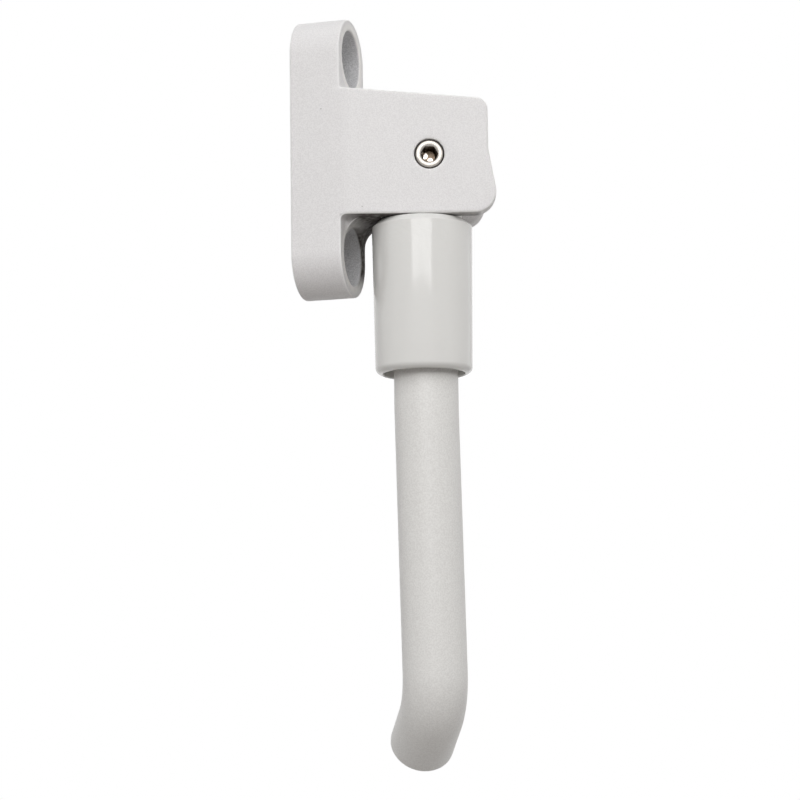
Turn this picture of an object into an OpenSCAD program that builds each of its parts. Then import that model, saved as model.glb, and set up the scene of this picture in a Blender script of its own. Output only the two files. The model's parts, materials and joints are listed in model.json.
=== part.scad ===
// Folding side stand: a sprung leg on a two-bolt bracket.
// Origin: centre of the bracket's flat mounting face, midway between its bolts.
// X points out of that face, Z is up, and the leg hangs down in its folded position.

/* [Mounting plate] */
// Length of the plate, end to end
plate_len = 58.8; // [50:0.1:80]
// Width of the plate
plate_w = 17; // [16:0.25:20]
// Thickness of the plate
plate_t = 10.8; // [9:0.1:14]
// Diameter of the bolt holes
bolt_hole_d = 6.6; // [4.5:0.1:6.8]
// Diameter of the counterbores for the bolt heads
counterbore_d = 12.4; // [8:0.1:13]
// Depth of the counterbores
counterbore_depth = 6.5; // [2:0.1:7.5]

/* [Pivot block] */
// Turn of the leg's plane away from square to the plate, in degrees
splay = 16.5; // [0:0.5:20]
// Depth of the block along the pivot
block_depth = 17; // [16.6:0.1:19]
// Distance from the plate's front face to the pivot
pivot_reach = 15.9; // [14:0.1:22]
// Height of the pivot above the middle of the bolts
pivot_rise = -1.2; // [-4:0.1:3]
// Height of the block's top above the pivot
block_top = 12.7; // [12:0.1:16]
// Fall of the block's top toward its end, in degrees
top_fall = 5.2; // [0:0.1:8]
// Distance from the pivot to the end of the front ear
ear_end = 12.1; // [11:0.1:13]
// How much shorter the rear ear is
rear_ear_cut = 2; // [0:0.1:3]
// Width of the slot between the ears
slot_w = 9.2; // [9.2:0.1:10]
// Radius of the corner at the top of the ears
top_corner_r = 2.5; // [1:0.1:4]
// Radius of the blend between the plate's side and the block
blend_r = 8; // [4:0.5:12]
// Fillet under the block, against the plate, along its near edge
root_fillet = 1; // [0.4:0.1:1]
// Fillet under the rest of the block, against the plate
far_fillet = 4.4; // [2:0.1:5.8]
// Width of the strip along the near edge that has the small fillet
near_strip = 3; // [1:0.5:6]

/* [Cam nose] */
// Distance from the pivot down to the underside of the ears
seat_drop = 12.4; // [12:0.1:14]
// Distance from the pivot line out to the centre of the nose
nose_out = 9.1; // [8.8:0.1:10.2]
// Radius of the nose
nose_r = 4.5; // [3.5:0.1:4.6]
// Lean of the face above the nose, in degrees
nose_lean = 10; // [6:0.5:10.5]

/* [Pivot] */
// Diameter of the pivot screw
pivot_d = 6; // [5:0.1:6.5]
// Width across the flats of its hexagon socket
socket_af = 3; // [2.5:0.1:3.5]
// Depth of the socket
socket_depth = 3; // [2:0.1:5]
// Width of the countersink around the socket's flats
socket_flare = 0.4; // [0.1:0.05:0.4]
// Wall of the bush around the pivot screw
bush_wall = 1; // [0.8:0.05:1.2]
// Thickness of the thrust washers
washer_t = 0.5; // [0.3:0.05:0.6]
// Outer diameter of the thrust washers
washer_d = 10; // [9.4:0.1:10]
// Diameter of the stop pin
stop_pin_d = 1.8; // [1.4:0.1:2]
// Depth of the stop pin's groove in the leg
stop_groove_depth = 1.9; // [1:0.1:2.5]

/* [Leg] */
// Distance of the leg's centre line behind the pivot
leg_offset = 1.25; // [0:0.05:2]
// Radius of the round end of the eye
hub_r = 8.4; // [8.2:0.1:8.6]
// Thickness of the eye across its flats
eye_t = 7.9; // [7:0.1:8]
// Diameter of the eye below the pivot, which guides the sleeve
eye_d = 15.8; // [15:0.1:16]
// Depth of the eye's lower end below the pivot
eye_drop = 16; // [15.5:0.1:16.2]
// Diameter of the stem under the eye
stem_d = 7; // [5:0.1:7.5]
// Length of the stem
stem_len = 14; // [11:0.5:18]
// Radial gap between the rod's neck and the spring around it
neck_play = 0.6; // [0.5:0.1:0.9]
// Diameter of the rod
rod_d = 13.2; // [12.5:0.1:14]
// Length of the rod from its shoulder to the small set bend
upper_run = 12; // [10:1:40]
// Angle of the set bend, in degrees
set_bend = 1; // [0:0.1:3]
// Length of the rod from the set bend to the foot bend
lower_run = 53.5; // [40:0.5:90]
// Centre line radius of the foot bend
foot_bend_r = 10.5; // [9:0.5:24]
// Angle of the foot bend, in degrees
foot_bend = 58; // [30:1:75]
// Turn of the foot toward the plate, in degrees
foot_turn = 13.5; // [-20:0.5:30]
// Length of the straight foot after the bend
foot_len = 10.5; // [6:0.5:25]
// Radius of the edge at the foot's end
foot_edge_r = 1.2; // [0.4:0.1:2]
// Diameter of the roll pin that locks the eye in the rod
roll_pin_d = 3; // [2:0.1:3]

/* [Sleeve and spring] */
// Wall of the sleeve at its top
sleeve_top_wall = 1.9; // [1.6:0.1:2.5]
// Wall of the sleeve at its lower end
sleeve_foot_wall = 1.4; // [1.4:0.1:2.5]
// Length of the sleeve
sleeve_len = 31.8; // [28:0.1:36]
// Radial play of the eye in the sleeve's bore
sleeve_play = 0.6; // [0.5:0.05:0.8]
// Length of the sleeve's skirt past the rod's shoulder
skirt_lap = 4.4; // [2:0.1:6]
// Thickness of the sleeve's top, which the spring pushes on
sleeve_top_t = 3.6; // [2.5:0.1:4]
// Width of the bevel round the sleeve's upper edge
sleeve_top_edge = 1.2; // [0.5:0.1:1.6]
// Radius of the sleeve's lower edge
sleeve_foot_edge = 1.4; // [0.4:0.1:1.4]
// Sideways shift of the sleeve within its play on the leg
sleeve_shift = 0.4; // [0:0.1:0.4]
// Diameter of the spring wire
wire_d = 1.7; // [1.2:0.1:1.8]
// How far the spring stays inside the edges of its washers
spring_inset = 0.1; // [0.05:0.05:0.3]
// Number of turns of the spring
spring_turns = 6.5; // [4:0.5:8]
// Thickness of the two spring washers
spring_washer_t = 1; // [0.6:0.1:1.4]

/* [Hidden] */
// Radial clearance of a running fit
running = 0.04;
// Radial clearance of a pressed or screwed seat
seated = 0.01;
// Gap around the screw's head in the front ear
head_gap = 0.1;
// Depth of the screw's face below the front ear's, and how much shorter it is than the block
screw_recess = 0.15;
screw_short = 0.4;
// Gap that the sleeve keeps to the ears over the whole swing
cam_gap = 0.2;
// Overshoot of a cut past the face that it opens
past = 1;
// Overlap of shapes that are joined into one solid, and of cuts that meet face to face
joined = 1;
sliver = 0.01;
// Overshoot of the block's blank and its slot past the nose
end_room = 5;
// Distance from the mounting face to where the block begins inside the plate
block_start = 1;
// Depth to which the root fillets sink into what they join
root_sink = 0.1;
// Distance that the root fillets keep to the plate's sides
side_inset = 0.2;
// Room in the slot behind the eye and above its round end
slot_play = 0.6;
slot_room = 0.8;
// Play of the thrust washers on the screw, and of the spring's washer on the neck
washer_play = 0.1;
washer_room = 0.3;
// Play of the stop pin in its groove, the room at its two ends, and the wall behind it
groove_play = 0.12;
pin_tip_gap = 0.3;
pin_room = 0.1;
pin_cover = 0.6;
// Play of the flat tongue in the sleeve's slot, its spare depth, and the gaps below it and the stem
tongue_play = 0.25;
tongue_spare = 0.4;
tongue_gap = 0.1;
stem_gap = 0.5;
// Place of the roll pin down the stem as a share of its length, and how much shorter it is
// than the neck is wide
pin_place = 0.6;
roll_pin_short = 0.4;
// Depth of the drilled hole under the socket, and its share of the socket's width
drill_depth = 0.5;
drill_share = 0.9;
// Numbers of sides and steps on round shapes
ring_fn = 96;
rod_fn = 64;
arc_steps = 12;
groove_steps = 48;
coil_steps = 30;
wire_sides = 10;
bend_step = 4;
bracket_white = [0.86, 0.86, 0.85];
leg_white = [0.88, 0.87, 0.85];
sleeve_white = [0.9, 0.9, 0.88];
steel = [0.62, 0.62, 0.6];
bronze = [0.7, 0.52, 0.3];

// Plate
plate_r = plate_w / 2;
bolt_z = plate_len / 2 - plate_r;
// Distance past the plate's front face where its side plane meets the block's front plane
blend_x = (block_depth / 2 - plate_w / 2 * cos(splay)) / sin(max(splay, 1));

// Ears
ear_t = (block_depth - slot_w) / 2;
slot_left = leg_offset + eye_d / 2 + slot_play;
slot_top = hub_r + slot_room;
nose_up = nose_r - seat_drop;
screw_r = pivot_d / 2;
bush_r = screw_r + running + bush_wall;
socket_r = socket_af / 2 / cos(30);
screw_len = block_depth - screw_short;
screw_chamfer = 0.35;
flare_r = socket_af / 2 + socket_flare;
drill_r = socket_af / 2 * drill_share;

// Stop pin, halfway between the pivot and the nose's centre
pin_x = nose_out / 2;
pin_z = nose_up / 2;
pin_reach = norm([pin_x, pin_z]);
pin_angle = atan2(pin_x, -pin_z);
// Swing of the leg between its stops, in degrees
leg_swing = 95;
stop_pin_r = stop_pin_d / 2;
groove_r = stop_pin_r + groove_play;
groove_slack = 1.4;
pin_depth = ear_t - pin_cover;

// Heights along the leg, from the pivot down
sleeve_bore = eye_d + 2 * sleeve_play;
sleeve_z = -seat_drop - cam_gap;
shoulder_drop = -sleeve_z + sleeve_len - skirt_lap;
ledge_z = sleeve_z - sleeve_top_t;
seat_washer_z = -shoulder_drop + spring_washer_t;
spring_top_z = ledge_z - spring_washer_t;
spring_len = spring_top_z - seat_washer_z;
spring_d = eye_d - 2 * spring_inset;
neck_d = spring_d - 2 * (wire_d + neck_play);
// Furthest that the nose pushes the sleeve down the leg, and how deep the flat tongue
// that keeps the sleeve from turning has to reach for it
lift_max = norm([nose_out, nose_up]) + nose_up;
tongue_drop = -ledge_z + lift_max + tongue_spare;
neck_top_z = -tongue_drop - tongue_gap;
roll_pin_z = -tongue_drop - stem_len * pin_place;
roll_pin_len = neck_d - roll_pin_short;
roll_pin_wall = 0.6;
washer_bore = neck_d + 2 * washer_room;
// Rings over the rounded edge of the foot
edge_steps = 5;
// Gap between the close coils at the spring's ends
coil_gap = 0.15;

// Places its children in the leg's plane: the pivot is at the origin, X points away from
// the plate and Y runs along the pivot screw.
module at_pivot() {
  translate([plate_t, 0, pivot_rise]) rotate([0, 0, splay]) translate([pivot_reach, 0, 0]) children();
}

// Places its children on the leg's centre line, at the pivot's height
module on_leg() {
  at_pivot() translate([-leg_offset, 0, 0]) children();
}

// A round bar or ring along Y, centred on the origin or starting at y
module bar_y(r, y0, y1, fn = ring_fn) {
  translate([0, y1, 0]) rotate([90, 0, 0]) cylinder(r = r, h = y1 - y0, $fn = fn);
}

// A ring standing on z
module ring(r_out, r_in, z, h) {
  translate([0, 0, z]) difference() {
    cylinder(r = r_out, h = h, $fn = ring_fn);
    translate([0, 0, -past]) cylinder(r = r_in, h = h + 2 * past, $fn = ring_fn);
  }
}

// Points of an arc about c, from angle a0 to a1
function arc(c, r, a0, a1, n = arc_steps) =
  [for (i = [0:n]) let (a = a0 + (a1 - a0) * i / n) c + r * [cos(a), sin(a)]];

// Side outline of the block, in the leg's plane; cut shortens its free end
module ear_outline(cut) {
  left = -pivot_reach - plate_t;
  tip = [nose_out - cut, nose_up];
  lean_foot = tip + nose_r * [cos(nose_lean), sin(nose_lean)];
  end = ear_end - cut;
  kink = [end, lean_foot.y + (lean_foot.x - end) / tan(nose_lean)];
  // The top corner's arc touches the falling top and the upright end
  corner_x = end - top_corner_r;
  top_at = block_top - tan(top_fall) * corner_x;
  corner_y = top_at - top_corner_r / cos(top_fall);
  polygon(concat(
    [[left, -seat_drop], [tip.x, -seat_drop]],
    arc(tip, nose_r, -90, nose_lean),
    [kink],
    arc([corner_x, corner_y], top_corner_r, 0, 90 - top_fall),
    [[left, block_top - tan(top_fall) * left]]));
}

// Plan of the block: flush with the plate's side, then turned by the splay
module block_plan() {
  far = pivot_reach + ear_end + nose_r + end_room;
  setback = blend_r * tan(splay / 2);
  meet = [plate_t + blend_x, -plate_r];
  along = [cos(splay), sin(splay)];
  across = [-sin(splay), cos(splay)];
  centre = [meet.x - setback, -plate_r + blend_r];
  front = meet + far * along;
  polygon(concat(
    [[block_start, -plate_r]],
    arc(centre, blend_r, -90, splay - 90),
    [front, front + block_depth * across, [block_start, plate_r]]));
}

module ears() {
  intersection() {
    translate([0, 0, -plate_len]) linear_extrude(2 * plate_len) block_plan();
    at_pivot() union() {
      rotate([90, 0, 0]) linear_extrude(block_depth) ear_outline(0);
      rotate([-90, 0, 0]) mirror([0, 1, 0]) linear_extrude(block_depth) ear_outline(rear_ear_cut);
    }
  }
}

module plate() {
  rotate([90, 0, 90]) linear_extrude(plate_t) union() {
    square([plate_w, 2 * bolt_z], center = true);
    for (side = [-1, 1]) translate([0, side * bolt_z]) circle(r = plate_r, $fn = ring_fn);
  }
}

module bolt_holes() {
  for (side = [-1, 1]) translate([0, 0, side * bolt_z]) rotate([0, 90, 0]) {
    translate([0, 0, -past]) cylinder(d = bolt_hole_d, h = plate_t + 2 * past, $fn = ring_fn);
    translate([0, 0, plate_t - counterbore_depth])
      cylinder(d = counterbore_d, h = counterbore_depth + far_fillet, $fn = ring_fn);
  }
}

// Fillet of radius r between the plate and the block's underside, from y0 to y1
module fillet_run(r, y0, y1) {
  translate([plate_t, y1, pivot_rise - seat_drop]) rotate([90, 0, 0]) linear_extrude(y1 - y0) difference() {
    translate([-root_sink, -r]) square([r + root_sink, r + root_sink]);
    translate([r, -r]) circle(r = r, $fn = ring_fn);
  }
}

module root_blend() {
  fillet_run(root_fillet, -plate_r, -plate_r + near_strip + root_sink);
  fillet_run(far_fillet, -plate_r + near_strip, plate_r - side_inset);
}

module bracket() {
  slot_run = ear_end + nose_r + end_room;
  color(bracket_white) difference() {
    union() {
      plate();
      ears();
      root_blend();
    }
    bolt_holes();
    at_pivot() {
      translate([-slot_left, -slot_w / 2, -seat_drop - end_room])
        cube([slot_left + slot_run, slot_w, seat_drop + end_room + slot_top]);
      bar_y(screw_r + head_gap, -block_depth, 0);
      bar_y(screw_r + seated, 0, block_depth);
      translate([pin_x, 0, pin_z]) bar_y(stop_pin_r + running, 0, slot_w / 2 + pin_depth + pin_room);
    }
  }
}

module pivot_screw() {
  y = -block_depth / 2 + screw_recess;
  color(steel) at_pivot() translate([0, y, 0]) rotate([-90, 0, 0]) difference() {
    rotate_extrude($fn = ring_fn) polygon([
      [0, 0], [screw_r - screw_chamfer, 0], [screw_r, screw_chamfer],
      [screw_r, screw_len - 2 * screw_chamfer], [screw_r - 2 * screw_chamfer, screw_len], [0, screw_len]]);
    translate([0, 0, -past]) cylinder(r = socket_r, h = socket_depth + past, $fn = 6);
    translate([0, 0, -past])
      cylinder(r1 = flare_r + past, r2 = socket_af / 2, h = socket_flare + past, $fn = ring_fn);
    translate([0, 0, socket_depth - sliver]) cylinder(r = drill_r, h = drill_depth, $fn = ring_fn);
  }
}

module thrust_washer(side) {
  y0 = side > 0 ? slot_w / 2 - washer_t : -slot_w / 2;
  at_pivot() difference() {
    bar_y(washer_d / 2, y0, y0 + washer_t);
    bar_y(screw_r + washer_play, -block_depth, block_depth);
  }
}

module thrust_washer_front() {
  color(bronze) thrust_washer(-1);
}

module thrust_washer_rear() {
  color(bronze) thrust_washer(1);
}

module stop_pin() {
  y0 = eye_t / 2 - stop_groove_depth + pin_tip_gap;
  color(steel) at_pivot() translate([pin_x, 0, pin_z]) bar_y(stop_pin_r, y0, slot_w / 2 + pin_depth);
}

module pivot_bush() {
  color(bronze) at_pivot() difference() {
    bar_y(bush_r, -eye_t / 2, eye_t / 2);
    bar_y(screw_r + running, -eye_t, eye_t);
  }
}

// Groove in the eye's rear flat that the stop pin runs in
module stop_groove() {
  y0 = eye_t / 2 - stop_groove_depth;
  a0 = pin_angle - leg_swing - groove_slack;
  a1 = pin_angle + groove_slack;
  cut = stop_groove_depth + past;
  translate([0, y0, 0]) rotate([90, 0, 0]) mirror([0, 0, 1]) linear_extrude(cut) union() {
    rotate([0, 0, a0 - 90]) difference() {
      polygon(concat([[0, 0]], arc([0, 0], pin_reach + groove_r, 0, a1 - a0, groove_steps)));
      circle(r = pin_reach - groove_r, $fn = ring_fn);
    }
    for (a = [a0, a1]) rotate([0, 0, a - 90]) translate([pin_reach, 0]) circle(r = groove_r, $fn = ring_fn);
  }
}

module leg_eye() {
  color(leg_white) difference() {
    union() {
      at_pivot() bar_y(hub_r, -eye_t / 2, eye_t / 2);
      on_leg() intersection() {
        union() {
          translate([0, 0, -eye_drop]) cylinder(d = eye_d, h = eye_drop, $fn = ring_fn);
          translate([0, 0, -tongue_drop])
            cylinder(d = neck_d, h = tongue_drop - eye_drop + joined, $fn = ring_fn);
        }
        translate([-eye_d, -eye_t / 2, -tongue_drop]) cube([2 * eye_d, eye_t, tongue_drop]);
      }
      on_leg() translate([0, 0, -tongue_drop - stem_len])
        cylinder(d = stem_d, h = stem_len + joined, $fn = ring_fn);
    }
    at_pivot() bar_y(bush_r + seated, -eye_t, eye_t);
    at_pivot() stop_groove();
    on_leg() roll_pin_hole();
  }
}

module roll_pin_hole() {
  translate([-neck_d, 0, roll_pin_z]) rotate([0, 90, 0])
    cylinder(r = roll_pin_d / 2 + seated, h = 2 * neck_d, $fn = ring_fn);
}

module roll_pin() {
  slit = 0.5;
  color(steel) on_leg() translate([-roll_pin_len / 2, 0, roll_pin_z]) rotate([0, 90, 0]) difference() {
    cylinder(d = roll_pin_d, h = roll_pin_len, $fn = ring_fn);
    translate([0, 0, -past])
      cylinder(r = roll_pin_d / 2 - roll_pin_wall, h = roll_pin_len + 2 * past, $fn = ring_fn);
    translate([0, -slit / 2, -past]) cube([roll_pin_d, slit, roll_pin_len + 2 * past]);
  }
}

// Stations along the rod from its shoulder to its foot: each is [centre, direction, radius]
function rod_stations() =
  let (r = rod_d / 2,
       d0 = [0, 0, -1],
       d1 = [sin(set_bend), 0, -cos(set_bend)],
       p1 = upper_run * d0,
       p2 = p1 + lower_run * d1,
       aside = [-sin(foot_turn), cos(foot_turn), 0],
       n = unit(aside - (aside * d1) * d1),
       d2 = cos(foot_bend) * d1 + sin(foot_bend) * n,
       p3 = p2 + foot_bend_r * (sin(foot_bend) * d1 + (1 - cos(foot_bend)) * n),
       steps = ceil(foot_bend / bend_step))
  concat(
    [[[0, 0, 0], d0, r], [p1, unit(d0 + d1), r]],
    [for (i = [0:steps]) let (a = foot_bend * i / steps)
      [p2 + foot_bend_r * (sin(a) * d1 + (1 - cos(a)) * n), cos(a) * d1 + sin(a) * n, r]],
    [for (i = [0:edge_steps]) let (a = 90 * i / edge_steps)
      [p3 + (foot_len - foot_edge_r * (1 - sin(a))) * d2, d2, r - foot_edge_r * (1 - cos(a))]]);

function unit(v) = v / norm(v);

// Solid skin over rings of points round each station
module swept(stations, sides) {
  last = len(stations) - 1;
  points = [for (s = stations)
    let (u = unit([1, 0, 0] - s[1].x * s[1]), v = cross(u, s[1]))
    for (k = [0:sides - 1]) let (a = 360 * k / sides) s[0] + s[2] * (cos(a) * u + sin(a) * v)];
  polyhedron(points = points, faces = tube_faces(last, sides));
}

// Faces of a closed tube of rings numbered 0 to last, all seen clockwise from outside
function tube_faces(last, sides) = concat(
  [[for (k = [sides - 1:-1:0]) k], [for (k = [0:sides - 1]) last * sides + k]],
  [for (i = [0:last - 1], k = [0:sides - 1])
    let (m = (k + 1) % sides, p = i * sides, q = p + sides)
    each [[p + k, q + m, q + k], [p + k, p + m, q + m]]]);

module leg_rod() {
  color(leg_white) on_leg() difference() {
    union() {
      translate([0, 0, -shoulder_drop - joined])
        cylinder(d = neck_d, h = shoulder_drop + joined + neck_top_z, $fn = ring_fn);
      translate([0, 0, -shoulder_drop]) swept(rod_stations(), rod_fn);
    }
    translate([0, 0, -tongue_drop - stem_len - stem_gap])
      cylinder(r = stem_d / 2 + seated, h = stem_len + stem_gap + past, $fn = ring_fn);
    roll_pin_hole();
  }
}

module spring_seat() {
  color(steel) on_leg() ring(eye_d / 2, neck_d / 2 + seated, -shoulder_drop, spring_washer_t);
}

module spring_washer() {
  color(steel) on_leg() ring(eye_d / 2, washer_bore / 2, spring_top_z, spring_washer_t);
}

// Height of the wire's centre: a close coil at each end and open coils between them
function coil_z(t) =
  let (end = 1 / spring_turns, rise = wire_d + coil_gap, top = spring_len - wire_d)
  t < end ? rise * t / end :
  t > 1 - end ? top - rise * (1 - t) / end :
  rise + (top - 2 * rise) * (t - end) / (1 - 2 * end);

module return_spring() {
  n = round(coil_steps * spring_turns);
  mean_r = (spring_d - wire_d) / 2;
  points = [for (i = [0:n]) let (a = 360 * spring_turns * i / n, z = coil_z(i / n))
    for (k = [0:wire_sides - 1]) let (b = 360 * k / wire_sides, r = mean_r + wire_d / 2 * cos(b))
      [r * cos(a), r * sin(a), z + wire_d / 2 * sin(b)]];
  color(steel) on_leg() translate([0, 0, seat_washer_z + wire_d / 2])
    polyhedron(points = points, faces = tube_faces(n, wire_sides));
}

module sleeve_outline() {
  top_r = sleeve_bore / 2 + sleeve_top_wall;
  foot_r = sleeve_bore / 2 + sleeve_foot_wall;
  polygon(concat(
    [[0, -sleeve_len]],
    arc([foot_r - sleeve_foot_edge, -sleeve_len + sleeve_foot_edge], sleeve_foot_edge, -90, 0),
    [[top_r, -sleeve_top_edge], [top_r - sleeve_top_edge, 0], [0, 0]]));
}

module cam_sleeve() {
  opening = eye_t + 2 * tongue_play;
  cut = sleeve_len + past;
  color(sleeve_white) on_leg() translate([-sleeve_shift, 0, sleeve_z]) difference() {
    rotate_extrude($fn = ring_fn) sleeve_outline();
    translate([0, 0, -sleeve_len - past])
      cylinder(d = sleeve_bore, h = sleeve_len + past - sleeve_top_t, $fn = ring_fn);
    intersection() {
      translate([0, 0, -sleeve_len]) cylinder(d = sleeve_bore, h = cut, $fn = ring_fn);
      translate([-sleeve_bore, -opening / 2, -sleeve_len]) cube([2 * sleeve_bore, opening, cut]);
    }
  }
}

bracket();
pivot_screw();
thrust_washer_front();
thrust_washer_rear();
pivot_bush();
leg_eye();
roll_pin();
leg_rod();
spring_seat();
return_spring();
spring_washer();
cam_sleeve();
stop_pin();
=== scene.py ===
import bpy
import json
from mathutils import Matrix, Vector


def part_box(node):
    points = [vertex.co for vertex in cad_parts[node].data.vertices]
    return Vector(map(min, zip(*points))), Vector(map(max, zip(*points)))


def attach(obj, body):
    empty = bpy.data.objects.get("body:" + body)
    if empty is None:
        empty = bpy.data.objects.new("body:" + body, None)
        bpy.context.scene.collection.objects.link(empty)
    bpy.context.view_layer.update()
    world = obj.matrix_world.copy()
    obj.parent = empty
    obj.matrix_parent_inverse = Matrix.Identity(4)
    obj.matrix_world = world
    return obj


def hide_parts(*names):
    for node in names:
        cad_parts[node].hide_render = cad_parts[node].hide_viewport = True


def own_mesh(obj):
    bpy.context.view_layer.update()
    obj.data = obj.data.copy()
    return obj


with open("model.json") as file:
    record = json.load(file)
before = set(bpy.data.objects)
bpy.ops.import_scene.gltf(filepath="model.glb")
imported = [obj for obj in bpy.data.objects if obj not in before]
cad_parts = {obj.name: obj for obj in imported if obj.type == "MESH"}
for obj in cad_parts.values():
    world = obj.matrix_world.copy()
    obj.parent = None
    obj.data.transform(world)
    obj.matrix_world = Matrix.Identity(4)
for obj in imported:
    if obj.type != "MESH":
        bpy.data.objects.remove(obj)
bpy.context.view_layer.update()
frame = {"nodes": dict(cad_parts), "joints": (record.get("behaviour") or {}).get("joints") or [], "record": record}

import json
import math

import bmesh
import bpy
import numpy as np
from mathutils import Matrix, Vector
from mathutils.bvhtree import BVHTree
from mathutils.kdtree import KDTree

MM = 0.001
nodes = frame["nodes"]
joints = {j["name"]: j for j in frame["joints"]}
scene = bpy.context.scene

# The leg's plane, from the swing's own hinge: along follows the pivot screw, away from the camera
pivot = Vector(joints["leg_swing"]["pos_m"])
along = -Vector(joints["leg_swing"]["axis"]).normalized()
outward = Vector((along.y, -along.x, 0))
UP = Vector((0, 0, 1))
leg_plane = Matrix.Translation(pivot) @ Matrix((outward, along, UP)).transposed().to_4x4()
SCREW_FACE = 8.35 * MM    # from the middle of the block to the screw's face
PLATE_T = 10.8 * MM
BOLT_Z = frame["record"]["mounts"][1]["dims"]["spacing_y_mm"] / 2 * MM
COUNTERBORE_R = 6.2 * MM
BOLT_SIDES = (-1, 1)      # the lower bolt and the upper one
CAD_SHARP = math.radians(20)      # edges of the CAD mesh that count as worn edges
SHADE_SHARP = math.radians(35)    # edges that stay sharp where a turned piece shades round
SLEEVE_SHARP = math.radians(50)


# ---------------------------------------------------------------- meshes

def dress(mesh, slot):
    """Gives a mesh the finish of its material slot, and no other."""
    mesh.materials.clear()
    mesh.materials.append(finishes[slot])


def add_piece(name, mesh, body, slot, node):
    """A visible piece that rides on a body and stands for a CAD node."""
    piece = bpy.data.objects.new(name, mesh)
    scene.collection.objects.link(piece)
    dress(mesh, slot)
    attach(piece, body)
    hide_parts(node)
    return piece


def mesh_of(bm, name):
    """The bmesh as a new mesh."""
    mesh = bpy.data.meshes.new(name)
    bm.to_mesh(mesh)
    bm.free()
    return mesh


def welded(node):
    """The CAD node's mesh with its split points joined."""
    bm = bmesh.new()
    bm.from_mesh(nodes[node].data)
    bmesh.ops.remove_doubles(bm, verts=bm.verts, dist=1e-6)
    return bm


def evaluated(mesh, *modifiers):
    """The mesh after the modifiers, each given as (type, {setting: value})."""
    helper = bpy.data.objects.new("helper", mesh)
    scene.collection.objects.link(helper)
    for kind, settings in modifiers:
        modifier = helper.modifiers.new(kind.lower(), kind)
        for key, value in settings.items():
            setattr(modifier, key, value)
    bpy.context.view_layer.update()
    result = bpy.data.meshes.new_from_object(helper.evaluated_get(bpy.context.evaluated_depsgraph_get()))
    bpy.data.objects.remove(helper)
    return result


def edge_points(bm, angle, step):
    """Points along the edges that are sharper than angle."""
    points = []
    for e in bm.edges:
        if len(e.link_faces) == 2 and e.calc_face_angle(0) > angle:
            a, b = e.verts[0].co, e.verts[1].co
            count = max(1, math.ceil((b - a).length / step))
            points += [a.lerp(b, i / count) for i in range(count + 1)]
    tree = KDTree(len(points))
    for i, p in enumerate(points):
        tree.insert(p, i)
    tree.balance()
    return tree


def relax(points, edges, share, rounds):
    """Laplacian smoothing: each round moves a point by its share toward its neighbours' mean."""
    a, b = edges[:, 0], edges[:, 1]
    degree = np.bincount(edges.ravel(), minlength=len(points)).astype(float)
    for _ in range(rounds):
        mean = np.empty_like(points)
        for k in range(3):
            mean[:, k] = (np.bincount(a, weights=points[b, k], minlength=len(points))
                          + np.bincount(b, weights=points[a, k], minlength=len(points))) / degree
        points = points + share[:, None] * (mean - points)
    return points


def softened(node, voxel, radius, rounds, crisp_rings=()):
    """The CAD node as an even fine mesh on its own surface, with the sharp edges worn round.

    crisp_rings lists circles (y, z, radius) about lines along X whose edges stay sharper. The
    attribute rounding_depth says how far each point was worn in, in shares of the radius.
    """
    bm = welded(node)
    bmesh.ops.triangulate(bm, faces=bm.faces)
    surface = BVHTree.FromBMesh(bm)
    sharp = edge_points(bm, CAD_SHARP, voxel / 2)
    mesh = evaluated(mesh_of(bm, node + "_source"),
                     ("REMESH", {"mode": "VOXEL", "voxel_size": voxel, "adaptivity": 0.0}))
    count = len(mesh.vertices)
    points = np.empty(count * 3)
    mesh.vertices.foreach_get("co", points)
    points = np.array([surface.find_nearest(Vector(p))[0] for p in points.reshape(-1, 3)])
    away = np.array([sharp.find(Vector(p))[2] for p in points])     # from the nearest sharp edge
    edges = np.empty(len(mesh.edges) * 2, int)
    mesh.edges.foreach_get("vertices", edges)
    edges = edges.reshape(-1, 2)
    band = np.clip(2 - away / radius, 0, 1)
    for y, z, ring in crisp_rings:
        off = np.abs(np.hypot(points[:, 1] - y, points[:, 2] - z) - ring)
        band *= np.clip(off / radius - 0.6, 0, 1)
    blend = band * band * (3 - 2 * band)
    worn = relax(points, edges, np.full(count, 0.5), 2)
    worn = relax(worn, edges, 0.5 * blend, rounds)
    mesh.vertices.foreach_set("co", worn.ravel())
    mesh.update()
    normals = np.empty(count * 3)
    mesh.vertices.foreach_get("normal", normals)
    depth = ((points - worn) * normals.reshape(-1, 3)).sum(axis=1)
    mesh.attributes.new("rounding_depth", "FLOAT", "POINT").data.foreach_set("value", np.clip(depth / radius, 0, 1))
    mesh.shade_smooth()
    return mesh


def crisp(node, bevel=0.0):
    """The CAD node with smooth round faces, and its sharp edges narrowly bevelled."""
    bm = welded(node)
    bmesh.ops.dissolve_limit(bm, angle_limit=math.radians(0.05), verts=bm.verts, edges=bm.edges)
    mesh = mesh_of(bm, node + "_crisp")
    if bevel:
        mesh = evaluated(mesh, ("BEVEL", {"width": bevel, "segments": 3, "limit_method": "ANGLE",
                                          "angle_limit": SHADE_SHARP}))
    mesh.shade_smooth()
    mesh.set_sharp_from_angle(angle=SHADE_SHARP)
    return mesh


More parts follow.
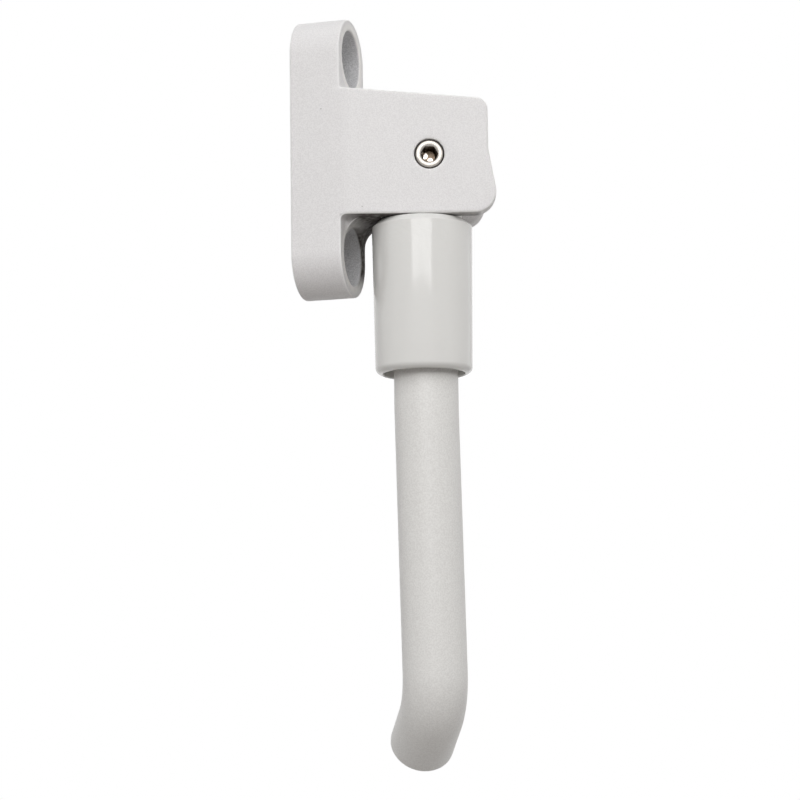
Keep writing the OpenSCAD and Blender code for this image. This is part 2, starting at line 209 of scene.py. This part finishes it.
def lathe(profile, sides, axis_x, axis_y):
    """A closed ring of profile points (radius, height) turned about a vertical axis."""
    bm = bmesh.new()
    rings = []
    for r, z in profile:
        if r == 0:
            rings.append([bm.verts.new((axis_x, axis_y, z))] * sides)
        else:
            rings.append([bm.verts.new((axis_x + r * math.cos(t), axis_y + r * math.sin(t), z))
                          for t in (2 * math.pi * k / sides for k in range(sides))])
    for low, high in zip(rings, rings[1:] + rings[:1]):
        for k in range(sides):
            corners = []
            for v in (low[k], low[(k + 1) % sides], high[(k + 1) % sides], high[k]):
                if v not in corners:
                    corners.append(v)
            if len(corners) > 2:
                bm.faces.new(corners)
    bmesh.ops.recalc_face_normals(bm, faces=bm.faces)
    return bm


def arc(cx, cz, r, start, end, steps):
    """Points (radius, height) of an arc, angles in degrees."""
    turns = [math.radians(start + (end - start) * i / steps) for i in range(steps + 1)]
    return [(cx + r * math.cos(t), cz + r * math.sin(t)) for t in turns]


# ---------------------------------------------------------------- materials

class Maker:
    """Node tree of one procedural material."""

    def __init__(self, name, color, roughness, metallic=0.0, **shader):
        self.material = bpy.data.materials.new(name)
        self.material.use_nodes = True
        self.tree = self.material.node_tree
        self.shader = self.tree.nodes["Principled BSDF"]
        self.shader.inputs["Base Color"].default_value = (*color, 1)
        self.shader.inputs["Roughness"].default_value = roughness
        self.shader.inputs["Metallic"].default_value = metallic
        for key, value in shader.items():
            self.shader.inputs[key.replace("_", " ").title().replace("Ior", "IOR")].default_value = value
        self.place = self.tree.nodes.new("ShaderNodeTexCoord").outputs["Object"]

    def node(self, kind, **settings):
        made = self.tree.nodes.new(kind)
        for key, value in settings.items():
            setattr(made, key, value)
        return made

    def link(self, source, target):
        self.tree.links.new(source, target)

    def noise(self, scale, detail=3.0, rough=0.5, place=None):
        made = self.node("ShaderNodeTexNoise")
        made.inputs["Scale"].default_value = scale
        made.inputs["Detail"].default_value = detail
        made.inputs["Roughness"].default_value = rough
        self.link(place or self.place, made.inputs["Vector"])
        return made.outputs["Fac"]

    def voronoi(self, scale, output="Distance", feature="F1"):
        made = self.node("ShaderNodeTexVoronoi", feature=feature)
        made.inputs["Scale"].default_value = scale
        self.link(self.place, made.inputs["Vector"])
        return made.outputs[output]

    def span(self, value, low, high, to_low, to_high):
        made = self.node("ShaderNodeMapRange", clamp=True)
        for key, v in zip(("From Min", "From Max", "To Min", "To Max"), (low, high, to_low, to_high)):
            made.inputs[key].default_value = v
        self.link(value, made.inputs["Value"])
        return made.outputs["Result"]

    def math(self, operation, a, b):
        made = self.node("ShaderNodeMath", operation=operation)
        for socket, v in zip(made.inputs, (a, b)):
            if isinstance(v, (int, float)):
                socket.default_value = v
            else:
                self.link(v, socket)
        return made.outputs["Value"]

    def mix(self, factor, a, b):
        """From a to b; the factor is a number or a socket, a and b are colours or sockets."""
        made = self.node("ShaderNodeMix", data_type="RGBA")
        ins = {s.identifier: s for s in made.inputs}
        for key, v in (("Factor_Float", factor), ("A_Color", a), ("B_Color", b)):
            if isinstance(v, tuple):
                ins[key].default_value = (*v, 1)
            elif isinstance(v, float):
                ins[key].default_value = v
            else:
                self.link(v, ins[key])
        return {s.identifier: s for s in made.outputs}["Result_Color"]

    def axis(self, name):
        """One coordinate of the surface point, in metres in the part's frame."""
        if not hasattr(self, "split"):
            self.split = self.node("ShaderNodeSeparateXYZ")
            self.link(self.place, self.split.inputs["Vector"])
        return self.split.outputs[name]

    def attribute(self, name):
        """A number that the mesh keeps at each of its points."""
        node = self.node("ShaderNodeAttribute")
        node.attribute_name = name
        return node.outputs["Fac"]

    def off_line(self, direction, through):
        """Distance from the line that runs through a point in a direction of length 1."""
        away = self.node("ShaderNodeVectorMath", operation="SUBTRACT")
        self.link(self.place, away.inputs[0])
        away.inputs[1].default_value = through
        cross = self.node("ShaderNodeVectorMath", operation="CROSS_PRODUCT")
        self.link(away.outputs["Vector"], cross.inputs[0])
        cross.inputs[1].default_value = direction
        size = self.node("ShaderNodeVectorMath", operation="LENGTH")
        self.link(cross.outputs["Vector"], size.inputs[0])
        return size.outputs["Value"]

    def product(self, *factors):
        result = factors[0]
        for factor in factors[1:]:
            result = self.math("MULTIPLY", result, factor)
        return result

    def bump(self, height, depth, strength, under=None):
        made = self.node("ShaderNodeBump")
        made.inputs["Strength"].default_value = strength
        made.inputs["Distance"].default_value = depth
        self.link(height, made.inputs["Height"])
        if under is not None:
            self.link(under, made.inputs["Normal"])
        return made.outputs["Normal"]

    def finish(self, color, roughness, normal):
        for key, v in (("Base Color", color), ("Roughness", roughness), ("Normal", normal)):
            self.link(v, self.shader.inputs[key])
        return self.material

    def specks(self, per_metre, chance, size):
        """1 in small round specks, one in some of the cells of a grid of per_metre cells a metre."""
        cell = self.node("ShaderNodeSeparateColor")
        self.link(self.voronoi(per_metre, "Color"), cell.inputs["Color"])
        chosen = self.math("GREATER_THAN", cell.outputs["Red"], 1 - chance)
        near = self.span(self.voronoi(per_metre), size * per_metre * 0.5, size * per_metre, 1, 0)
        return self.math("MULTIPLY", chosen, near)


def powder_coat():
    """Matt white powder coat over a casting: fine grain, soft orange peel, a few dust specks.

    It has painted shade on the counterbores' walls, a painted highlight round their rims and along
    the rounded edges, and painted shade in the corner between the plate, the block and the sleeve.
    """
    m = Maker("bracket_coat", (0.82, 0.81, 0.81), 0.5, specular_ior_level=0.4)
    tone = m.mix(m.noise(70, 4), (0.812, 0.800, 0.798), (0.845, 0.832, 0.834))
    grain = m.noise(3800, 2, 0.6)
    fleck = m.mix(m.span(grain, 0.38, 0.62, 0, 1), (0.735, 0.722, 0.724), (0.90, 0.89, 0.89))
    skin = m.mix(0.5, tone, fleck)
    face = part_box("bracket")[0].x + PLATE_T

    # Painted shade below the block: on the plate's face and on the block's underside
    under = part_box("cam_sleeve")[1].z + 0.2 * MM
    below = m.span(m.axis("Z"), under + 0.25 * MM, under + 0.05 * MM, 0, 1)
    plate = m.product(
        m.span(m.axis("Y"), -7.2 * MM, 4 * MM, 0, 1),
        m.span(m.axis("Z"), -28.8 * MM, -23.5 * MM, 0, 1),
        m.span(m.axis("X"), face - 0.5 * MM, face - 0.1 * MM, 0, 1))
    block = m.product(
        m.span(m.axis("X"), face - 0.1 * MM, face + 3.5 * MM, 0.3, 1),
        m.span(m.axis("X"), face - 0.3 * MM, face + 0.1 * MM, 0, 1),
        m.span(m.axis("X"), face + 17 * MM, face + 13 * MM, 0, 1))
    recess_shade = m.product(below, m.math("MAXIMUM", plate, block))

    # Counterbores: a painted highlight round the rims on the face, painted shade on the walls
    off_bolt = m.math("MINIMUM", *(m.off_line((1, 0, 0), (0, 0, side * BOLT_Z)) for side in BOLT_SIDES))
    bore = m.span(off_bolt, COUNTERBORE_R + 0.05 * MM, COUNTERBORE_R + 0.03 * MM, 0, 1)
    # Painted highlight: a pale ring round each counterbore on the face
    painted_rim = m.product(
        m.span(off_bolt, COUNTERBORE_R + 1.8 * MM, COUNTERBORE_R + 0.8 * MM, 0, 0.8),
        m.span(m.axis("X"), face - 0.3 * MM, face - 0.1 * MM, 0, 1))
    skin = m.mix(painted_rim, skin, (0.95, 0.935, 0.905))
    # Painted shade on the counterbores' walls; their floors keep the plain coat
    shaded_hollow = m.product(
        bore,
        m.span(m.axis("X"), face - 0.5 * MM, face - 0.2 * MM, 1, 0),
        m.span(m.axis("X"), face - 6.3 * MM, face - 4.6 * MM, 0, 1))
    bore_wall_shade = m.mix(m.span(grain, 0.35, 0.65, 0, 1), (0.50, 0.50, 0.51), (0.70, 0.70, 0.71))
    skin = m.mix(shaded_hollow, skin, bore_wall_shade)

    # Painted shade: the corner below the block goes near black with a ragged edge, and is rougher there
    ragged_shade = m.math("MULTIPLY", recess_shade, m.span(m.noise(900, 3), 0.3, 0.6, 0.8, 1))
    shaded_corner = m.mix(ragged_shade, skin, (0.05, 0.042, 0.036))
    # Painted highlight: the rounded edges are painted paler, the deeper the rounding the paler
    edge_lit = m.mix(m.span(m.attribute("rounding_depth"), 0.12, 0.32, 0, 0.8), shaded_corner, (0.93, 0.925, 0.915))
    color = m.mix(m.specks(260, 0.3, 0.00017), edge_lit, (0.3, 0.28, 0.26))
    peel = m.bump(m.voronoi(1500, feature="SMOOTH_F1"), 0.00003, 0.5)
    normal = m.bump(grain, 0.00003, 0.8, peel)
    gloss = m.span(m.noise(900, 3), 0.3, 0.7, 0.44, 0.6)
    return m.finish(color, m.math("MAXIMUM", gloss, m.math("MULTIPLY", recess_shade, 0.85)), normal)


def satin_coat():
    """Satin white coat over a drawn rod: faint draw lines and soft cloudiness."""
    m = Maker("leg_coat", (0.82, 0.815, 0.795), 0.4, specular_ior_level=0.45)
    tone = m.mix(m.noise(55, 4), (0.80, 0.79, 0.768), (0.835, 0.826, 0.806))
    grain = m.noise(3200, 3, 0.6)
    fleck = m.mix(m.span(grain, 0.38, 0.62, 0, 1), (0.72, 0.71, 0.69), (0.91, 0.905, 0.885))
    skin = m.mix(0.5, tone, fleck)
    color = m.mix(m.specks(180, 0.25, 0.00015), skin, (0.33, 0.31, 0.28))
    fine = m.bump(grain, 0.00002, 0.6)
    stretch = m.node("ShaderNodeMapping")
    stretch.inputs["Scale"].default_value = (1, 1, 0.04)
    m.link(m.place, stretch.inputs["Vector"])
    normal = m.bump(m.noise(1800, 2, 0.5, stretch.outputs["Vector"]), 0.00001, 0.35, fine)
    return m.finish(color, m.span(m.noise(700, 3), 0.3, 0.7, 0.34, 0.46), normal)


def gloss_moulding():
    """Gloss white moulded plastic: a clear skin, slight waviness, ripples near the top, specks."""
    m = Maker("sleeve_gloss", (0.80, 0.795, 0.775), 0.16, specular_ior_level=0.2,
              coat_weight=0.45, coat_roughness=0.04)
    tone = m.mix(m.noise(90, 3), (0.79, 0.785, 0.762), (0.81, 0.806, 0.786))
    color = m.mix(m.specks(150, 0.25, 0.00015), tone, (0.36, 0.33, 0.3))
    wave = m.bump(m.noise(210, 2, 0.4), 0.00004, 0.35)
    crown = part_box("cam_sleeve")[1].z
    rippled = m.span(m.axis("Z"), crown - 11 * MM, crown - 4 * MM, 0.1, 1)
    normal = m.bump(m.product(m.noise(1000, 2), rippled), 0.00005, 1.0, wave)
    m.link(normal, m.shader.inputs["Coat Normal"])
    return m.finish(color, m.span(m.noise(420, 4), 0.35, 0.7, 0.1, 0.2), normal)


def plated_screw():
    """Nickel-plated steel, with painted shade in the pivot screw's socket and round its edge, and painted glints
    on the socket's floor.
    """
    m = Maker("screw_steel", (0.36, 0.335, 0.31), 0.3, 1.0)
    tone = m.mix(m.noise(1500, 3), (0.29, 0.265, 0.24), (0.40, 0.38, 0.355))
    off_axis = m.off_line(along, pivot)
    reach = m.node("ShaderNodeVectorMath", operation="DOT_PRODUCT")
    m.link(m.place, reach.inputs[0])
    reach.inputs[1].default_value = along
    depth = m.math("ADD", reach.outputs["Value"], SCREW_FACE - pivot.dot(along))
    # Painted shade inside the socket
    shaded_hollow = m.product(
        m.span(off_axis, 1.95 * MM, 1.8 * MM, 0, 1),
        m.span(depth, 0.25 * MM, 0.5 * MM, 0, 1))

    # Two painted glints on the socket's floor: right and up from its middle, and radius
    glint_spots = []
    for x, z, r in ((-0.95, 0.3, 0.75), (0.2, -0.65, 0.6)):
        off_spot = m.off_line(along, pivot + (outward * x + UP * z) * MM)
        glint_spots.append(m.span(off_spot, r * MM, r * 0.7 * MM, 0, 1))
    glint = m.math("MULTIPLY", m.math("MAXIMUM", *glint_spots), m.span(depth, 2.6 * MM, 2.9 * MM, 0, 1))

    # Painted shadow: a dark ring round the head's edge
    painted_rim = m.span(off_axis, 2.78 * MM, 2.9 * MM, 0, 1)
    dark = m.mix(shaded_hollow, tone, m.mix(glint, (0.10, 0.075, 0.055), (0.85, 0.77, 0.70)))
    color = m.mix(painted_rim, dark, (0.08, 0.07, 0.06))
    normal = m.bump(m.noise(5200, 2), 0.000006, 0.5)
    return m.finish(color, m.span(m.noise(2400, 3), 0.3, 0.7, 0.24, 0.36), normal)


def spring_wire():
    """Drawn spring steel wire."""
    m = Maker("spring_steel", (0.5, 0.5, 0.51), 0.3, 1.0)
    color = m.mix(m.noise(700, 3), (0.42, 0.42, 0.43), (0.58, 0.58, 0.59))
    gloss = m.span(m.noise(2200, 3), 0.3, 0.7, 0.24, 0.4)
    return m.finish(color, gloss, m.bump(m.noise(4200, 2), 0.000006, 0.5))


def bearing_bronze():
    """Plain bearing bronze, lightly oiled."""
    m = Maker("bronze", (0.62, 0.42, 0.22), 0.34, 1.0)
    color = m.mix(m.noise(800, 4), (0.5, 0.32, 0.16), (0.7, 0.5, 0.28))
    gloss = m.span(m.noise(2400, 3), 0.3, 0.7, 0.26, 0.44)
    return m.finish(color, gloss, m.bump(m.noise(3600, 2), 0.000008, 0.5))


finishes = {
    "bracket_coat": powder_coat(),
    "leg_coat": satin_coat(),
    "sleeve_gloss": gloss_moulding(),
    "screw_steel": plated_screw(),
    "spring_steel": spring_wire(),
    "bronze": bearing_bronze(),
}
for subpart in frame["record"]["subparts"]:
    dress(nodes[subpart["node"]].data, subpart["material_slot"])


# ---------------------------------------------------------------- pieces

def sleeve_mesh():
    """The cam sleeve turned smooth from its CAD box, with the leg's slot cut through its top."""
    low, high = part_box("cam_sleeve")
    centre = (low + high) / 2
    top_r = (high.x - low.x) / 2
    taper, bore, ledge = 0.4 * MM, 8.5 * MM, 3.6 * MM
    edge, lip = 1.4 * MM, 0.35 * MM      # roundings at the foot, outside and inside
    bevel, worn = 1.2 * MM, 0.4 * MM     # the top's bevel and its worn edges
    foot_r = top_r - taper
    slope = worn * math.tan(math.radians(22.5))
    profile = (
        [(0, high.z)]
        + arc(top_r - bevel - slope, high.z - worn, worn, 90, 45, 6)
        + arc(top_r - worn, high.z - bevel - slope, worn, 45, 0, 6)
        + arc(foot_r - edge, low.z + edge, edge, 0, -90, 14)
        + arc(bore + lip, low.z + lip, lip, -90, -180, 5)
        + [(bore, high.z - ledge), (0, high.z - ledge)])
    bm = lathe(profile, 160, centre.x, centre.y)
    body = mesh_of(bm, "sleeve_body")

    # Slot: the bore's circle between two flats that follow the leg's plane
    slot_half, past, steps = 4.2 * MM, 2 * MM, 12
    flat = math.asin(slot_half / bore)
    outline = []
    for start, end in ((-flat, flat), (math.pi - flat, math.pi + flat)):
        for i in range(steps + 1):
            t = start + (end - start) * i / steps
            outline.append(outward * (bore * math.cos(t)) + along * (bore * math.sin(t)))
    bm = bmesh.new()
    base = Vector((centre.x, centre.y, 0))
    rings = [[bm.verts.new(base + p + UP * z) for p in outline]
             for z in (high.z - ledge - past, high.z + past)]
    count = len(outline)
    for k in range(count):
        following = (k + 1) % count
        bm.faces.new((rings[0][k], rings[0][following], rings[1][following], rings[1][k]))
    bm.faces.new(rings[0][::-1])
    bm.faces.new(rings[1])
    bmesh.ops.recalc_face_normals(bm, faces=bm.faces)
    cutter = bpy.data.objects.new("sleeve_cutter", mesh_of(bm, "sleeve_cutter"))
    scene.collection.objects.link(cutter)
    mesh = evaluated(
        body,
        ("BOOLEAN", {"object": cutter, "operation": "DIFFERENCE", "solver": "EXACT"}),
        ("BEVEL", {"width": lip, "segments": 3, "limit_method": "ANGLE",
                   "angle_limit": SLEEVE_SHARP}))
    bpy.data.objects.remove(cutter)
    mesh.shade_smooth()
    mesh.set_sharp_from_angle(angle=SLEEVE_SHARP)
    return mesh


bores = [(0, side * BOLT_Z, COUNTERBORE_R) for side in BOLT_SIDES]
add_piece("bracket_casting", softened("bracket", 0.22 * MM, 0.33 * MM, 7, bores),
          "mount", "bracket_coat", "bracket")
add_piece("pivot_screw_plated", softened("pivot_screw", 0.11 * MM, 0.16 * MM, 4),
          "mount", "screw_steel", "pivot_screw")
add_piece("leg_eye_forged", softened("leg_eye", 0.25 * MM, 0.45 * MM, 8),
          "leg", "leg_coat", "leg_eye")
add_piece("leg_rod_coated", crisp("leg_rod", 0.35 * MM), "leg", "leg_coat", "leg_rod")
add_piece("cam_sleeve_moulded", sleeve_mesh(), "sleeve", "sleeve_gloss", "cam_sleeve")

# The spring's wire shades round; the coil gets a mesh of its own, and spring_foot is the middle of its lowest end
coil = crisp("return_spring")
coil.shade_smooth()
spring = add_piece("return_spring_coil", coil, "leg", "spring_steel", "return_spring")
spring_low, spring_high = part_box("return_spring")
spring_foot = (spring_low + spring_high) / 2
spring_foot.z = spring_low.z
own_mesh(spring)


# ---------------------------------------------------------------- camera

CAM_PITCH = math.radians(8.123)
CAM_ROLL = math.radians(0.779)
CAM_DISTANCE = 553.98 * MM
CAM_TARGET = Vector((-6.68, 0, -49.67)) * MM
SENSOR = 36.0             # mm
FOCAL_PIXELS = 2701.07
FRAME_PIXELS = 800

forward = Vector((0, math.cos(CAM_PITCH), math.sin(CAM_PITCH)))
side = Vector((1, 0, 0))
above = side.cross(forward)
right = side * math.cos(CAM_ROLL) - above * math.sin(CAM_ROLL)
top = above * math.cos(CAM_ROLL) + side * math.sin(CAM_ROLL)
camera_data = bpy.data.cameras.new("camera")
camera_data.sensor_width = SENSOR
camera_data.lens = FOCAL_PIXELS / FRAME_PIXELS * SENSOR
camera_data.clip_start = 0.02
camera_data.clip_end = 40
camera = bpy.data.objects.new("camera", camera_data)
scene.collection.objects.link(camera)
pose = Matrix((right, top, -forward)).transposed().to_4x4()
pose.translation = CAM_TARGET - forward * CAM_DISTANCE
camera.matrix_world = leg_plane @ pose
scene.camera = camera


# ---------------------------------------------------------------- light and stage

FLOOR_Z = -0.150
FLOOR_HALF = 12
SHADOW_NEAR, SHADOW_FAR = 0.25, 0.7    # the floor's shadow fades out between these distances


LIGHT_AIM = Vector((0, 0, -28)) * MM    # the middle of the sleeve, in the leg's plane
LIGHT_DISTANCE = 1.2


def soft_light(name, azimuth, elevation, width, height, power):
    """A white area light; azimuth is from the camera's side, positive to its right, in degrees."""
    a, e = math.radians(azimuth), math.radians(elevation)
    toward = Vector((math.sin(a) * math.cos(e), -math.cos(a) * math.cos(e), math.sin(e)))
    place = LIGHT_AIM + LIGHT_DISTANCE * toward
    data = bpy.data.lights.new(name, "AREA")
    data.shape = "RECTANGLE"
    data.size, data.size_y = width, height
    data.energy = power
    light = bpy.data.objects.new(name, data)
    scene.collection.objects.link(light)
    aimed = (LIGHT_AIM - place).to_track_quat("-Z", "Y").to_matrix().to_4x4()
    light.matrix_world = leg_plane @ Matrix.Translation(place) @ aimed


soft_light("key", -2, 34.5, 1.0, 1.04, 8.0)
soft_light("strip", -3, 16.6, 1.0, 0.24, 1.7)
soft_light("fill", 95, 8, 2.4, 1.2, 3.8)
soft_light("left", -85, 3, 1.2, 1.2, 1.5)
soft_light("overhead", 0, 85, 1.2, 1.2, 1.1)

# What the object is lit by from above and below; the background itself shows white
SKY = (0.26, 0.26, 0.26, 1)
GROUND = (0.46, 0.44, 0.425, 1)
WHITE = (1, 1, 1, 1)


class Shade:
    """Small helper for the stage's node trees."""

    def __init__(self, tree):
        self.tree = tree
        tree.nodes.clear()

    def node(self, kind, inputs=(), **settings):
        made = self.tree.nodes.new(kind)
        for key, value in settings.items():
            setattr(made, key, value)
        for key, value in dict(inputs).items():
            if isinstance(value, bpy.types.NodeSocket):
                self.tree.links.new(value, made.inputs[key])
            else:
                made.inputs[key].default_value = value
        return made

    def seen(self):
        """1 for the rays that show the background: camera, glossy and transmission rays."""
        path = self.node("ShaderNodeLightPath").outputs
        result = path["Is Camera Ray"]
        for ray in ("Is Glossy Ray", "Is Transmission Ray"):
            both = self.node("ShaderNodeMath", {0: result, 1: path[ray]}, operation="MAXIMUM")
            result = both.outputs[0]
        return result


world = bpy.data.worlds.new("world")
scene.world = world
world.use_nodes = True
shade = Shade(world.node_tree)
sight = shade.node("ShaderNodeSeparateXYZ", {0: shade.node("ShaderNodeTexCoord").outputs["Generated"]})
rise = shade.node("ShaderNodeMapRange", {"Value": sight.outputs["Z"], "From Min": -0.6, "From Max": 0.6},
                  interpolation_type="SMOOTHSTEP")
glow = shade.node("ShaderNodeMixRGB", {"Fac": rise.outputs[0], "Color1": GROUND, "Color2": SKY})
ambient = shade.node("ShaderNodeBackground", {"Color": glow.outputs[0], "Strength": 1.0})
plain = shade.node("ShaderNodeBackground", {"Color": WHITE, "Strength": 1.0})
mix = shade.node("ShaderNodeMixShader", {0: shade.seen(), 1: ambient.outputs[0], 2: plain.outputs[0]})
shade.node("ShaderNodeOutputWorld", {"Surface": mix.outputs[0]})

# White floor: it keeps the object's shadow nearby, is plain white further off, and throws back
# only as much light as the ground does
floor_finish = bpy.data.materials.new("floor_white")
floor_finish.use_nodes = True
shade = Shade(floor_finish.node_tree)
seen = shade.seen()
bounce = shade.node("ShaderNodeBsdfDiffuse", {"Color": GROUND})
paper = shade.node("ShaderNodeBsdfDiffuse", {"Color": (0.8, 0.8, 0.8, 1)})
lift = shade.node("ShaderNodeEmission", {"Color": WHITE, "Strength": 0.5})
near = shade.node("ShaderNodeAddShader", {0: paper.outputs[0], 1: lift.outputs[0]})
spot = shade.node("ShaderNodeTexCoord").outputs["Object"]
away = shade.node("ShaderNodeVectorMath", {0: spot}, operation="LENGTH")
far = shade.node("ShaderNodeMapRange", {"Value": away.outputs["Value"], "From Min": SHADOW_NEAR,
                                          "From Max": SHADOW_FAR},
                 interpolation_type="SMOOTHSTEP")
plain = shade.node("ShaderNodeEmission", {"Color": WHITE, "Strength": 1.0})
shown = shade.node("ShaderNodeMixShader", {0: far.outputs[0], 1: near.outputs[0], 2: plain.outputs[0]})
mix = shade.node("ShaderNodeMixShader", {0: seen, 1: bounce.outputs[0], 2: shown.outputs[0]})
shade.node("ShaderNodeOutputMaterial", {"Surface": mix.outputs[0]})

bm = bmesh.new()
bmesh.ops.create_grid(bm, x_segments=1, y_segments=1, size=FLOOR_HALF)
floor_mesh = mesh_of(bm, "floor")
floor_mesh.materials.append(floor_finish)
floor = bpy.data.objects.new("floor", floor_mesh)
floor.location = (0, 0, FLOOR_Z)
scene.collection.objects.link(floor)

scene.view_settings.view_transform = "Standard"
